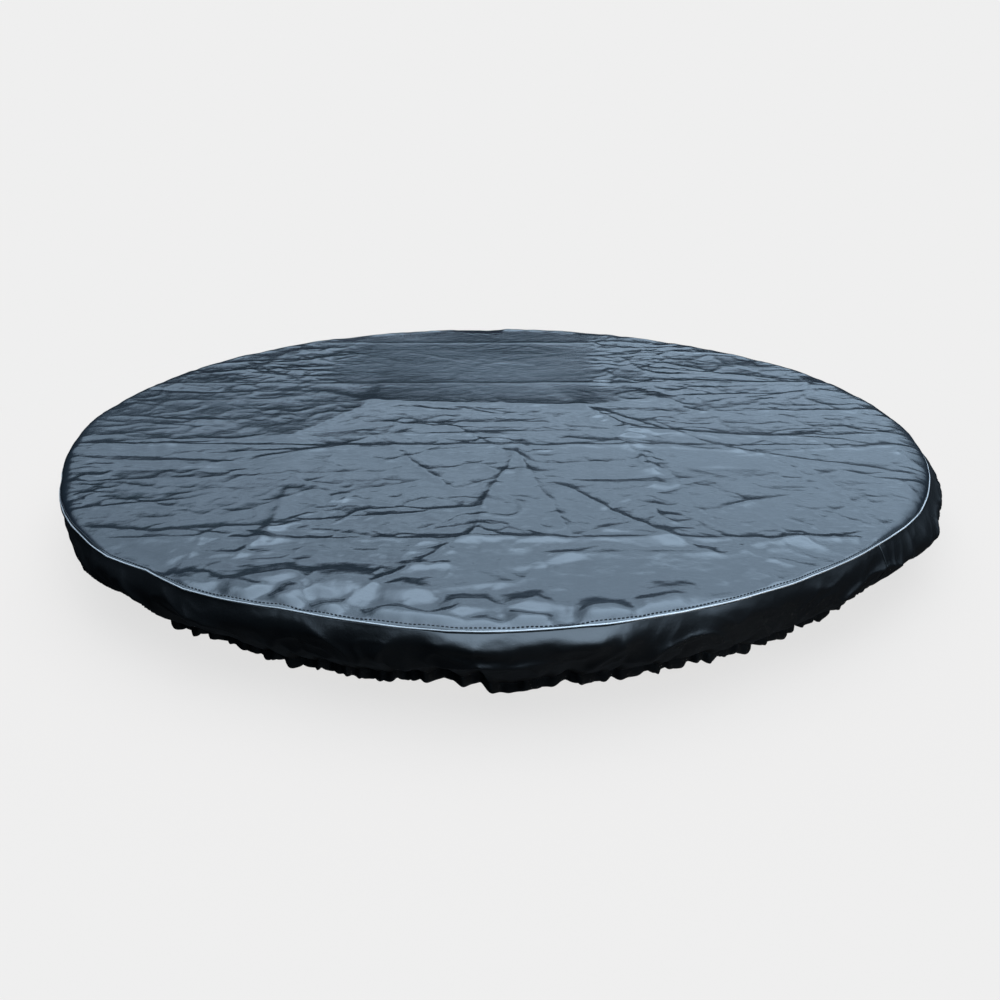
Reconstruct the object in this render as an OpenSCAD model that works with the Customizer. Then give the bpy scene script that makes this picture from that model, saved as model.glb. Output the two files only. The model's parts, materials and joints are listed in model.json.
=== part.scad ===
// Round insulated spa cover: a coated-cloth jacket with an elastic hem, zipped round a flat air bladder.
// Units are millimetres. The origin is on the floor plane under the middle of the cover, +Z is up,
// and -Y is the front. The hem stands on z = 0.

/* [Jacket] */
// Diameter over the piped seam
top_d = 1800; // [1600:10:2080]
// Height from the bottom of the hem to the flat top
top_h = 150; // [146:1:160]
// Drop from the flat top to the middle of the piped seam
seam_drop = 12; // [12:1:20]
// Radius of the rolled shoulder, where the top turns down to the seam
shoulder_r = 9; // [5:1:9]
// Thickness of the coated cloth
cloth_t = 1.2; // [0.8:0.1:1.4]
// Thickness of the piping cord in its sleeve
welt_d = 4.4; // [3:0.2:5]
// How far the skirt bulges outside a straight cone
skirt_bulge = 24; // [6:1:24]
// Number of cloth lengths joined end to end in the skirt
skirt_panels = 4; // [4]
// Direction of the first skirt joint, in degrees from +X
first_joint_deg = -45; // [-60:1:-30]

/* [Elastic hem] */
// Outer diameter of the hem with the elastic relaxed
hem_d = 1640; // [1440:10:1920]
// Height of the hem casing
hem_h = 22; // [18:1:26]
// Thickness of the hem casing, gathers included
hem_t = 8; // [7:0.5:10]
// Width of the flat elastic
elastic_w = 16; // [10:1:17]
// Thickness of the flat elastic
elastic_t = 2; // [1.5:0.1:3]

/* [Liner and zip] */
// Height of the underside of the liner above the hem
liner_z = 60; // [58:1:61]
// Thickness of the foil-faced liner
liner_t = 1.2; // [0.8:0.1:1.4]
// Gap between the edge of the bladder's half-round side and the zip's middle line
zip_inset = 92; // [90:1:110]
// Angle that the zip's two tapes cover
zip_sweep_deg = 160; // [120:5:175]
// Angle of tape past the closed slider
zip_lead_deg = 4; // [3:1:6]
// Width of each zip tape
tape_w = 16; // [12:1:18]
// Thickness of the zip tape
tape_t = 0.8; // [0.6:0.1:1]
// Width of each row of teeth
coil_w = 2.5; // [2:0.1:3]
// Height of the rows of teeth
coil_h = 2.4; // [2:0.1:2.4]
// Room between the two rows, where the slider's wedge runs
coil_gap = 1.6; // [1.5:0.1:2]

/* [Zip slider] */
// Length of the slider along the zip
slider_l = 12; // [10:1:16]
// Thickness of each slider plate
slider_plate_t = 1.4; // [1.2:0.1:1.5]
// Length of the pull tab, from its pin to its end
pull_l = 26; // [18:1:32]
// Radius of the pin that the pull tab swings on
pull_pin_r = 0.9; // [0.8:0.05:1.2]

/* [Air bladder] */
// Thickness of the bladder when it is full of air
bladder_h = 84; // [80:1:84]
// Gap between the bladder's side and the piped seam
bladder_margin = 28; // [26:1:40]
// Thickness of the bladder's film
film_t = 0.5; // [0.4:0.1:0.8]
// Number of upright beams that hold the top and the bottom films flat
beams = 6; // [6]
// Distance between beams
beam_pitch = 240; // [200:5:250]
// Room left past each end of a beam, for the air to pass
beam_vent = 60; // [40:5:100]

/* [Valve] */
// Distance of the valve from the middle of the cover, towards the back
valve_y = 700; // [690:5:710]
// Radius of the hole in the valve's base
valve_bore_r = 13.1; // [12.6:0.1:14]
// Wall thickness of the valve's neck
neck_t = 3.5; // [2.5:0.1:4]
// Radius of the flange welded to the bladder
flange_r = 26; // [24:1:30]
// Radius of the air way that the plug closes
air_r = 8; // [6:0.5:9]
// Length of the plug
plug_l = 9; // [6:0.5:10]

/* [Hidden] */
$fn = 180;
cover_r = top_d / 2;
welt_r = welt_d / 2;
seam_r = cover_r - welt_r;
seam_z = top_h - seam_drop;
panel_r = seam_r + cloth_t / 2;
hem_r = hem_d / 2;
skirt_top = seam_z - welt_r;
skirt_steps = 8;
roll_steps = 6;
side_steps = 12;
// Skirt lengths stop this far short of each other, in degrees, at a joint
joint_gap_deg = 0.04;
seam_tape_deg = 1.4;

bladder_z = top_h - cloth_t - 0.3 - bladder_h;
bladder_edge_r = bladder_h / 2;
bladder_r = cover_r - bladder_margin;
bladder_flat_r = bladder_r - bladder_edge_r;
beam_t = film_t;

zip_r = bladder_r - zip_inset;
tape_top = liner_z;
coil_z = liner_z - 1.8;
slider_gap = 0.3;
slot_w = coil_gap + 2 * coil_w + 5.4;
plate_inner_w = slot_w - 1.6;
plate_outer_w = slot_w + 1;
wedge_w = coil_gap - 0.6;
lower_plate_top = coil_z - slider_gap;
upper_plate_z = coil_z + coil_h + slider_gap;
lug_t = 1.8;
lug_gap = 5.2;
pull_z = lower_plate_top - slider_plate_t - 3.2;
eye_r = pull_pin_r + 1.5;
pin_clearance = 0.1;

neck_r = valve_bore_r + neck_t;
neck_z = liner_z - 4.5;
neck_top = bladder_z + 7.5;
turn_gap = 0.1;
rim_t = 1.8;
rim_z = neck_z - turn_gap - rim_t;
cap_gap = 0.1;
cap_t = 2.4;
cap_z = rim_z - cap_gap - cap_t;
grip_h = 6;

cloth_colour = "#2b323b";
welt_colour = "#59626d";
skirt_colour = "#15181c";
foil_colour = "#c3c6c9";
film_colour = "#b9c0c4";
tape_colour = "#1d1f22";
plastic_colour = "#e6e6e2";

// Outer radius of the skirt at a step up from the hem: a cone that bulges
function skirt_step_r(i) =
    hem_r + (panel_r - hem_r) * i / skirt_steps + skirt_bulge * sin(180 * i / skirt_steps);

// Outer radius of the skirt at height z, straight between two steps
function skirt_r(z) =
    let (steps_up = skirt_steps * (z - hem_h) / (skirt_top - hem_h),
         i = min(floor(steps_up), skirt_steps - 1))
    skirt_step_r(i) + (skirt_step_r(i + 1) - skirt_step_r(i)) * (steps_up - i);

// Cross-section of a strip that follows the skirt from z0 up to z1, inset from its outer face
module skirt_section(z0, z1, inset, thick, steps) {
    heights = [for (i = [0 : steps]) z0 + (z1 - z0) * i / steps];
    outside = [for (z = heights) [skirt_r(z) - inset, z]];
    inside = [for (i = [steps : -1 : 0]) [skirt_r(heights[i]) - inset - thick, heights[i]]];
    polygon(concat(outside, inside));
}

// Sweeps a cross-section round +Z, from one direction through an angle
module swept(from_deg, sweep_deg) {
    rotate([0, 0, from_deg])
        rotate_extrude(angle = sweep_deg)
            children();
}

// A band round +Z with a rectangular section
module band(r0, r1, z0, z1, from_deg, sweep_deg) {
    swept(from_deg, sweep_deg)
        translate([r0, z0])
            square([r1 - r0, z1 - z0]);
}

module ring(r0, r1, z0, z1) {
    translate([0, 0, z0])
        difference() {
            cylinder(h = z1 - z0, r = r1);
            translate([0, 0, -1])
                cylinder(h = z1 - z0 + 2, r = r0);
        }
}

// Points of an arc round a centre, from one angle to another
function arc_points(centre, r, from_deg, to_deg, steps) =
    [for (i = [0 : steps])
        let (a = from_deg + (to_deg - from_deg) * i / steps)
        centre + r * [cos(a), sin(a)]];

// Flat, then a rolled shoulder, then straight down to the seam
module top_panel() {
    roll_centre = [panel_r - shoulder_r, top_h - shoulder_r];
    edge_z = seam_z + welt_r;
    outside = arc_points(roll_centre, shoulder_r, 90, 0, roll_steps);
    inside = arc_points(roll_centre, shoulder_r - cloth_t, 0, 90, roll_steps);
    color(cloth_colour)
        rotate_extrude()
            polygon(concat([[0, top_h]], outside, [[panel_r, edge_z], [panel_r - cloth_t, edge_z]],
                           inside, [[0, top_h - cloth_t]]));
}

module rim_welt() {
    color(welt_colour)
        rotate_extrude()
            translate([seam_r, seam_z])
                circle(r = welt_r, $fn = 32);
}

module skirt_panel(index) {
    step = 360 / skirt_panels;
    color(skirt_colour)
        swept(first_joint_deg + index * step + joint_gap_deg, step - 2 * joint_gap_deg)
            skirt_section(hem_h, skirt_top, 0, cloth_t, skirt_steps);
}

// Tape felled over the inside of each skirt joint, from the hem up to the liner
module skirt_seam_tapes() {
    step = 360 / skirt_panels;
    color(skirt_colour)
        for (i = [0 : skirt_panels - 1])
            swept(first_joint_deg + i * step - seam_tape_deg / 2, seam_tape_deg)
                skirt_section(hem_h + 0.5, liner_z - 0.5, cloth_t + 0.1, 1, 3);
}

// Folded casing round the elastic
module hem_casing() {
    color(skirt_colour)
        difference() {
            ring(hem_r - hem_t, hem_r, 0, hem_h);
            ring(hem_r - hem_t + cloth_t, hem_r - cloth_t, cloth_t, hem_h - cloth_t);
        }
}

module hem_elastic() {
    middle = hem_r - hem_t / 2;
    color("black")
        ring(middle - elastic_t / 2, middle + elastic_t / 2,
             (hem_h - elastic_w) / 2, (hem_h + elastic_w) / 2);
}

// One sheet across the underside, with a slot for the zip and a hole for the valve
module liner_panel() {
    edge_r = skirt_r(liner_z) - cloth_t - 0.1;
    color(foil_colour)
        difference() {
            translate([0, 0, liner_z])
                cylinder(h = liner_t, r = edge_r);
            band(zip_r - slot_w / 2, zip_r + slot_w / 2, liner_z - 1, liner_z + liner_t + 1,
                 -zip_lead_deg, zip_sweep_deg);
            translate([0, valve_y, liner_z - 1])
                cylinder(h = liner_t + 2, r = neck_r + 0.8, $fn = 64);
        }
}

module zip_tape(r0) {
    color(tape_colour)
        band(r0, r0 + tape_w, tape_top - tape_t, tape_top, -zip_lead_deg - 1, zip_sweep_deg + 2);
}

module zip_tape_outer() {
    zip_tape(zip_r + coil_gap / 2 + coil_w);
}

module zip_tape_inner() {
    zip_tape(zip_r - coil_gap / 2 - coil_w - tape_w);
}

module zip_teeth(r0) {
    color("black")
        band(r0, r0 + coil_w, coil_z, coil_z + coil_h, -zip_lead_deg + 1, zip_sweep_deg - 2);
}

module zip_teeth_outer() {
    zip_teeth(zip_r + coil_gap / 2);
}

module zip_teeth_inner() {
    zip_teeth(zip_r - coil_gap / 2 - coil_w);
}

// Moulded blocks that close both ends of the rows of teeth
module zip_stops() {
    half = coil_gap / 2 + coil_w;
    color("black")
        for (start = [-zip_lead_deg + 0.4, zip_sweep_deg - zip_lead_deg - 1])
            band(zip_r - half, zip_r + half, coil_z, coil_z + coil_h, start, 0.6);
}

// Two plates joined by a wedge, and two lugs with the pin of the pull tab
module zip_slider() {
    lug_bottom = pull_z - eye_r;
    color("dimgray")
        translate([zip_r, 0, 0]) {
            translate([-plate_outer_w / 2, -slider_l / 2, lower_plate_top - slider_plate_t])
                cube([plate_outer_w, slider_l, slider_plate_t]);
            translate([-plate_inner_w / 2, -slider_l / 2, upper_plate_z])
                cube([plate_inner_w, slider_l, slider_plate_t]);
            translate([-wedge_w / 2, -slider_l / 4, lower_plate_top - 0.5])
                cube([wedge_w, slider_l / 2, upper_plate_z - lower_plate_top + 1]);
            for (side = [-1, 1])
                translate([side * (lug_gap + lug_t) / 2 - lug_t / 2, -eye_r, lug_bottom])
                    cube([lug_t, 2 * eye_r, lower_plate_top - slider_plate_t - lug_bottom + 0.5]);
            translate([-lug_gap / 2 - lug_t / 2, 0, pull_z])
                rotate([0, 90, 0])
                    cylinder(h = lug_gap + lug_t, r = pull_pin_r, $fn = 32);
        }
}

// Tab that hangs from the slider's pin by an eye
module zip_pull() {
    eye_w = lug_gap - 0.8;
    tab_w = 6;
    tab_t = 1.6;
    color("dimgray")
        translate([zip_r, 0, pull_z])
            difference() {
                union() {
                    translate([-eye_w / 2, 0, 0])
                        rotate([0, 90, 0])
                            cylinder(h = eye_w, r = eye_r, $fn = 32);
                    translate([-eye_w / 2, -tab_t / 2, -eye_r - 4])
                        cube([eye_w, tab_t, eye_r + 4]);
                    translate([-tab_w / 2, -tab_t / 2, -pull_l + tab_w / 2])
                        cube([tab_w, tab_t, pull_l - eye_r - 2 - tab_w / 2]);
                    translate([0, tab_t / 2, -pull_l + tab_w / 2])
                        rotate([90, 0, 0])
                            cylinder(h = tab_t, r = tab_w / 2, $fn = 48);
                }
                translate([-eye_w, 0, 0])
                    rotate([0, 90, 0])
                        cylinder(h = 2 * eye_w, r = pull_pin_r + pin_clearance, $fn = 32);
                translate([0, tab_t, -pull_l + tab_w / 2])
                    rotate([90, 0, 0])
                        cylinder(h = 2 * tab_t, r = 1.5, $fn = 32);
            }
}

module bladder_top() {
    color(film_colour)
        translate([0, 0, bladder_z + bladder_h - film_t])
            cylinder(h = film_t, r = bladder_flat_r);
}

module bladder_bottom() {
    color(film_colour)
        difference() {
            translate([0, 0, bladder_z])
                cylinder(h = film_t, r = bladder_flat_r);
            translate([0, valve_y, bladder_z - 1])
                cylinder(h = film_t + 2, r = neck_r, $fn = 64);
        }
}

// Half-round band that joins the two flat films
module bladder_side() {
    centre = [bladder_flat_r, bladder_z + bladder_edge_r];
    outside = arc_points(centre, bladder_edge_r, -90, 90, side_steps);
    inside = arc_points(centre, bladder_edge_r - film_t, 90, -90, side_steps);
    color(film_colour)
        rotate_extrude()
            polygon(concat(outside, inside));
}

// Upright strip welded to both films, along a chord of the bladder
module bladder_beam(index) {
    y = (index - (beams + 1) / 2) * beam_pitch;
    half_l = sqrt(pow(bladder_flat_r, 2) - pow(y, 2)) - beam_vent;
    color(film_colour)
        translate([-half_l, y - beam_t / 2, bladder_z + film_t])
            cube([2 * half_l, beam_t, bladder_h - 2 * film_t]);
}

// Neck with a flange that is welded under the bladder
module valve_base() {
    color(plastic_colour)
        translate([0, valve_y, 0])
            difference() {
                union() {
                    translate([0, 0, neck_z])
                        cylinder(h = neck_top - neck_z, r = neck_r, $fn = 64);
                    translate([0, 0, bladder_z - 1.2])
                        cylinder(h = 1.2, r = flange_r, $fn = 64);
                }
                translate([0, 0, neck_z - 1])
                    cylinder(h = neck_top - neck_z + 2, r = valve_bore_r, $fn = 64);
            }
}

// Screwed-in part with the air way, closed inside by a spoked seat for the flap
module valve_insert() {
    body_r = valve_bore_r - turn_gap;
    seat_z = neck_top - 2;
    color(plastic_colour)
        translate([0, valve_y, 0]) {
            difference() {
                union() {
                    translate([0, 0, rim_z])
                        cylinder(h = neck_top - rim_z, r = body_r, $fn = 64);
                    translate([0, 0, rim_z])
                        cylinder(h = rim_t, r = neck_r, $fn = 64);
                }
                translate([0, 0, rim_z - 1])
                    cylinder(h = neck_top - rim_z + 2, r = air_r, $fn = 64);
                for (side = [0, 90, 180, 270])
                    rotate([0, 0, side])
                        translate([neck_r, 0, rim_z - 1])
                            cylinder(h = rim_t + 1.5, r = 2, $fn = 32);
            }
            difference() {
                for (side = [0, 90])
                    rotate([0, 0, side])
                        translate([-air_r - 0.5, -0.8, seat_z])
                            cube([2 * air_r + 1, 1.6, 2]);
                translate([0, 0, seat_z - 1])
                    cylinder(h = 4, r = 1.3, $fn = 32);
            }
            difference() {
                translate([0, 0, seat_z])
                    cylinder(h = 2, r = 2.6, $fn = 32);
                translate([0, 0, seat_z - 1])
                    cylinder(h = 4, r = 1.3, $fn = 32);
            }
        }
}

// Rubber flap that lets air in and not out, on a stem through the spokes
module valve_flap() {
    color("black")
        translate([0, valve_y, 0])
            union() {
                translate([0, 0, neck_top])
                    cylinder(h = 1, r = air_r + 2, $fn = 64);
                translate([0, 0, neck_top - 2])
                    cylinder(h = 2.5, r = 1.3, $fn = 32);
                translate([0, 0, neck_top - 3.2])
                    cylinder(h = 1.2, r = 2.2, $fn = 32);
            }
}

// Plug that pulls out of the air way, with a finger grip
module valve_cap() {
    grip_w = 12;
    color(plastic_colour)
        translate([0, valve_y, 0])
            union() {
                translate([0, 0, cap_z])
                    cylinder(h = cap_t, r = neck_r, $fn = 64);
                translate([0, 0, cap_z + cap_t - 0.5])
                    cylinder(h = plug_l + 0.5, r = air_r - 0.1, $fn = 64);
                translate([-grip_w / 2, -1.5, cap_z - grip_h])
                    cube([grip_w, 3, grip_h + 0.5]);
            }
}

top_panel();
rim_welt();
skirt_panel(3);  // skirt_front
skirt_panel(0);  // skirt_right
skirt_panel(1);  // skirt_back
skirt_panel(2);  // skirt_left
skirt_seam_tapes();
hem_casing();
hem_elastic();
liner_panel();
zip_tape_outer();
zip_tape_inner();
zip_teeth_outer();
zip_teeth_inner();
zip_stops();
zip_slider();
zip_pull();
bladder_top();
bladder_bottom();
bladder_side();
bladder_beam(1);  // bladder_beam_1
bladder_beam(2);  // bladder_beam_2
bladder_beam(3);  // bladder_beam_3
bladder_beam(4);  // bladder_beam_4
bladder_beam(5);  // bladder_beam_5
bladder_beam(6);  // bladder_beam_6
valve_base();
valve_insert();
valve_flap();
valve_cap();
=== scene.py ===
"""Looks of a round spa cover: creased cloth, piped rim, gathered skirt, foil liner, zip and valve."""
import json
import math

import bpy
import numpy as np
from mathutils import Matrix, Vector


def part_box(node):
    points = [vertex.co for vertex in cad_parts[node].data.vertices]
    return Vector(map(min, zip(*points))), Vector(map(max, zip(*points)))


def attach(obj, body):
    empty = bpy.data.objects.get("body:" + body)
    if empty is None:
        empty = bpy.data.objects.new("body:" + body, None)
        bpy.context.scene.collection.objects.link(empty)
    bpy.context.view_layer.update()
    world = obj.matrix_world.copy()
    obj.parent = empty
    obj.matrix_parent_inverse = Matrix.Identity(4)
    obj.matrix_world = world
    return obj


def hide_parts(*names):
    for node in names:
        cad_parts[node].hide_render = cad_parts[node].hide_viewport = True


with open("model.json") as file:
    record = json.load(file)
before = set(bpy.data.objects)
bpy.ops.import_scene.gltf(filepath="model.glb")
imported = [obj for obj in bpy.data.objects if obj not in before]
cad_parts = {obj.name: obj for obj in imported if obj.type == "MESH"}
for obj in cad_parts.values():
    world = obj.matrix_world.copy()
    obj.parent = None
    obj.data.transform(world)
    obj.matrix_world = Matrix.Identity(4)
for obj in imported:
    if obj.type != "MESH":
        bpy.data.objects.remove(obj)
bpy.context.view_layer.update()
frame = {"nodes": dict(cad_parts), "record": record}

# Places taken from the frame, in metres
COVER_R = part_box("rim_welt")[1].x
TOP_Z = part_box("top_panel")[1].z
WELT_R = (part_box("rim_welt")[1].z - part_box("rim_welt")[0].z) / 2
SEAM_R = COVER_R - WELT_R
SEAM_DROP = TOP_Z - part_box("rim_welt")[0].z - WELT_R
HEM_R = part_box("hem_casing")[1].x
HEM_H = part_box("hem_casing")[1].z
LINER_LOW, LINER_HIGH = (corner.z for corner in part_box("liner_panel"))
ZIP_R = (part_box("zip_slider")[0].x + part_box("zip_slider")[1].x) / 2
ZIP_HALF_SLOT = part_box("zip_teeth_outer")[1].x - ZIP_R + 0.0028
TAPE_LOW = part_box("zip_tape_outer")[0].z
TEETH_LOW, TEETH_HIGH = (corner.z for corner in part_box("zip_teeth_outer"))
TEETH_GAP = ZIP_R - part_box("zip_teeth_inner")[1].x  # from the zip's middle line to the nearer row
TEETH_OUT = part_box("zip_teeth_outer")[1].x - ZIP_R  # and to the far side of a row
VALVE = (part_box("valve_base")[0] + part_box("valve_base")[1]) / 2
BEAMS = [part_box(f"bladder_beam_{k}") for k in range(1, 7)]
BEAMS_ALONG_X = BEAMS[0][1].x - BEAMS[0][0].x > BEAMS[0][1].y - BEAMS[0][0].y
BEAM_PLACES = [((low + high) / 2).y if BEAMS_ALONG_X else ((low + high) / 2).x for low, high in BEAMS]
CLOTH_T = 0.0012
PIPING_R = 0.0011
STITCH_IN = 0.006  # distance of the topstitching from the seam
STITCH_PITCH = 0.0064
FRONT = -math.pi / 2  # direction of the front, in radians from +X
CAMERA_PLACE = (0.01 * COVER_R, -2.192 * COVER_R, TOP_Z + 0.723 * COVER_R)
CAMERA_TILT = math.radians(23.3)  # below the horizon


# ---------------------------------------------------------------- camera

def make_camera():
    """The main view: close, at standing height, looking down on the front edge."""
    data = bpy.data.cameras.new("camera")
    data.lens = 33.3
    data.clip_end = 100
    camera = bpy.data.objects.new("camera", data)
    bpy.context.scene.collection.objects.link(camera)
    camera.location = CAMERA_PLACE
    camera.rotation_euler = (math.radians(90) - CAMERA_TILT, 0, 0)
    bpy.context.scene.camera = camera


make_camera()


# ---------------------------------------------------------------- noise and mesh helpers

class Noise:
    """Gradient noise in three dimensions, from about -1 to 1, the same on every run."""

    def __init__(self, seed):
        rng = np.random.RandomState(seed)
        self.order = np.tile(rng.permutation(256), 3)
        steps = rng.normal(size=(256, 3))
        self.steps = steps / np.linalg.norm(steps, axis=1, keepdims=True)

    def __call__(self, x, y, z):
        x, y, z = np.broadcast_arrays(np.asarray(x, float), y, z)
        cell = [np.floor(v).astype(int) for v in (x, y, z)]
        part = [v - c for v, c in zip((x, y, z), cell)]
        ease = [p * p * p * (p * (p * 6 - 15) + 10) for p in part]
        total = np.zeros(x.shape)
        for corner in np.ndindex(2, 2, 2):
            at = [(c + k) & 255 for c, k in zip(cell, corner)]
            step = self.steps[self.order[self.order[self.order[at[0]] + at[1]] + at[2]]]
            dot = sum(step[..., i] * (part[i] - corner[i]) for i in range(3))
            weight = 1.0
            for i in range(3):
                weight = weight * (ease[i] if corner[i] else 1 - ease[i])
            total += weight * dot
        return 1.6 * total

    def layered(self, x, y, z, octaves):
        """Noise with finer and weaker noise added."""
        total, size, scale = 0.0, 1.0, 1.0
        for _ in range(octaves):
            total = total + size * self(x * scale, y * scale, z * scale)
            size, scale = size / 2, scale * 2.03
        return total


def smooth(low, high, value):
    """0 below low, 1 above high, and a smooth step between."""
    t = np.clip((value - low) / (high - low), 0, 1)
    return t * t * (3 - 2 * t)


def turn_from_front(theta):
    """Angle from the front of the cover, from -pi to pi, positive towards +X."""
    return (theta - FRONT + math.pi) % (2 * math.pi) - math.pi


def full_turn(count):
    """Evenly spaced directions round the cover."""
    return np.arange(count) * 2 * math.pi / count


def polar(theta, radius, height):
    """Points at directions, radii and heights."""
    return np.stack([radius * np.cos(theta), radius * np.sin(theta), height], -1)


def outward(theta):
    """Level directions that point away from the middle."""
    return np.stack([np.cos(theta), np.sin(theta), np.zeros_like(theta)], -1)


def unit(vectors):
    """Vectors of length 1 with the same directions."""
    return vectors / np.linalg.norm(vectors, axis=1, keepdims=True)


def make_mesh(name, points, faces):
    """A smooth-shaded piece that rides on the jacket."""
    mesh = bpy.data.meshes.new(name)
    mesh.from_pydata([tuple(p) for p in points], [], [tuple(f) for f in faces])
    mesh.validate()
    mesh.polygons.foreach_set("use_smooth", [True] * len(mesh.polygons))
    piece = bpy.data.objects.new(name, mesh)
    bpy.context.scene.collection.objects.link(piece)
    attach(piece, "jacket")
    return piece


def grid_faces(rows, columns, wrap=True, start=0):
    """Quads between rows of points, each row closed on itself if wrap is true."""
    last = columns if wrap else columns - 1
    i, j = np.meshgrid(np.arange(rows - 1), np.arange(last), indexing="ij")
    k = (j + 1) % columns
    a, b = start + i * columns + j, start + i * columns + k
    c, d = start + (i + 1) * columns + k, start + (i + 1) * columns + j
    return np.stack([a, b, c, d], -1).reshape(-1, 4)


def thicken(piece, thickness, offset=-1):
    """Gives a sheet its real thickness."""
    solid = piece.modifiers.new("thickness", "SOLIDIFY")
    solid.thickness = thickness
    solid.offset = offset
    solid.use_quality_normals = True


# ---------------------------------------------------------------- shape of the top

bumps = Noise(11)
folds = Noise(23)
ripples = Noise(37)


def round_noise(theta, scale, at):
    """Noise that closes on itself round the cover."""
    return ripples(scale * np.cos(theta), scale * np.sin(theta), at)


# Packaging folds that cross the whole top: place along Y as a share of the radius, and height in metres
PACKAGING_FOLDS = [(-0.69, 0.0040), (-0.20, 0.0036), (0.31, 0.0016), (0.79, 0.0016)]

# Creases as (from, to, height in metres), with places as shares of the radius
CREASES = [
    ((0.045, -0.26), (0.13, -0.63), 0.0038),
    ((-0.02, -0.52), (0.045, -0.26), 0.0040),
    ((-0.05, -0.67), (-0.02, -0.52), 0.0030),
    ((-0.26, -0.95), (-0.05, -0.67), 0.0028),
    ((-0.10, -0.08), (0.045, -0.26), 0.0026),
    ((-0.23, -0.21), (-0.10, -0.43), 0.0030),
    ((-0.42, -0.68), (-0.42, -0.47), 0.0026),
    ((-0.60, -0.66), (-0.05, -0.55), 0.0022),
    ((-0.75, -0.64), (-0.40, -0.69), 0.0030),
    ((0.14, -0.45), (0.31, -0.68), 0.0036),
    ((0.31, -0.68), (0.37, -0.74), 0.0030),
    ((0.37, -0.74), (0.70, -0.66), 0.0022),
    ((0.23, 0.08), (0.33, -0.08), 0.0040),
    ((0.33, -0.08), (0.80, -0.16), 0.0030),
    ((0.27, 0.05), (0.54, -0.22), 0.0030),
    ((0.54, -0.22), (0.86, -0.36), 0.0026),
    ((0.28, -0.14), (0.34, -0.33), 0.0032),
    ((0.33, -0.33), (0.31, -0.66), 0.0028),
    ((0.41, 0.16), (0.44, 0.33), 0.0026),
    ((0.44, 0.33), (0.85, 0.31), 0.0020),
    ((-0.43, -0.85), (-0.34, -0.83), 0.0036),
    ((-0.34, -0.83), (-0.28, -0.88), 0.0036),
    ((-0.62, -0.25), (-0.23, -0.21), 0.0018),
]
# Lines where folds cross and the cloth is knotted up into small wrinkles
KNOTS = [((0.25, 0.02), (0.33, -0.10)), ((0.33, -0.10), (0.33, -0.64)), ((-0.46, -0.74), (-0.30, -0.50)),
         ((0.30, 0.30), (0.33, 0.80)), ((0.02, -0.16), (0.12, -0.24)), ((-0.86, -0.30), (-0.80, -0.66))]
# Places where the cloth stands up in a soft pillow behind the front seam: middle, radius as a share
# of the cover's, and height in metres
PILLOWS = [((-0.25, -0.85), 0.060, 0.011), ((-0.14, -0.88), 0.045, 0.010), ((-0.05, -0.93), 0.035, 0.009),
           ((0.05, -0.92), 0.040, 0.008), ((0.16, -0.93), 0.035, 0.007), ((-0.36, -0.84), 0.040, 0.008),
           ((0.30, -0.89), 0.040, 0.006)]
# Broad bends, where the cloth slopes two ways from a line
BENDS = [
    ((-0.95, -0.24), (-0.48, -0.14), 0.0040),
    ((-0.48, -0.14), (-0.32, 0.13), 0.0055),
    ((-0.32, 0.13), (0.23, 0.09), 0.0075),
    ((0.23, 0.09), (0.41, 0.16), 0.0050),
]


def seam_drop(theta):
    """How far the piped seam lies below the flat top: least at the front, most at the two sides."""
    away = np.abs(np.degrees(turn_from_front(theta)))
    sides = smooth(38, 66, away) * (1 - 0.65 * smooth(100, 140, away))
    wave = round_noise(theta, 5, 0.5)
    return np.maximum(0.003 + 1.4 * SEAM_DROP * sides + 0.0035 * wave, 0.0015)


# Slight corners of the seam: turn from the front in degrees, and how far out it stands in millimetres
CORNERS = [(-161, 8), (-134, 15), (-108, 15), (-91, 12), (-70, -3), (-42, 9), (-36, -1), (-30, 8), (-20, -8),
           (-4, 3), (10, -1), (26, -15), (48, -13), (70, -2), (86, 7), (114, 7), (137, -12), (165, -4)]


def seam_radius(theta):
    """The seam's radius: it runs a little straighter between slight corners, as a sewn edge does."""
    turn, out = np.array(CORNERS, float).T
    corner = np.interp(np.degrees(turn_from_front(theta)), turn, out / 1000, period=360)
    wave = round_noise(theta, 4.5, 7.5)
    fine = round_noise(theta, 16, 3.5)
    return SEAM_R + corner + 0.0015 * wave + 0.0012 * fine


CREASE_ROUND = 0.003  # share of the radius over which a fold is rounded


def crease(x, y, start, end, height, near=0.055, far=0.010):
    """A fold between two points that fades at both ends, steep on one side and gentle on the other."""
    start, end = np.array(start), np.array(end)
    along = end - start
    length = np.linalg.norm(along)
    along = along / length
    t = ((x - start[0]) * along[0] + (y - start[1]) * along[1]) / length
    off = (x - start[0]) * -along[1] + (y - start[1]) * along[0]
    past = np.maximum(np.maximum(-t, t - 1), 0) * length
    side = smooth(-CREASE_ROUND, CREASE_ROUND, off)
    away = np.sqrt(off * off + CREASE_ROUND ** 2) - CREASE_ROUND
    gentle = 0.55 * np.exp(-away / near) + 0.45 * np.exp(-away / 0.013)
    shape = gentle + (np.exp(-away / far) - gentle) * side
    return height * shape * np.exp(-((past / 0.03) ** 2))


def near_line(x, y, start, end, width):
    """1 on the line between two points and 0 away from it."""
    start, end = np.array(start), np.array(end)
    along = end - start
    t = np.clip(((x - start[0]) * along[0] + (y - start[1]) * along[1]) / np.dot(along, along), 0, 1)
    return np.exp(-((x - start[0] - t * along[0]) ** 2 + (y - start[1] - t * along[1]) ** 2) / width ** 2)


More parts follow.
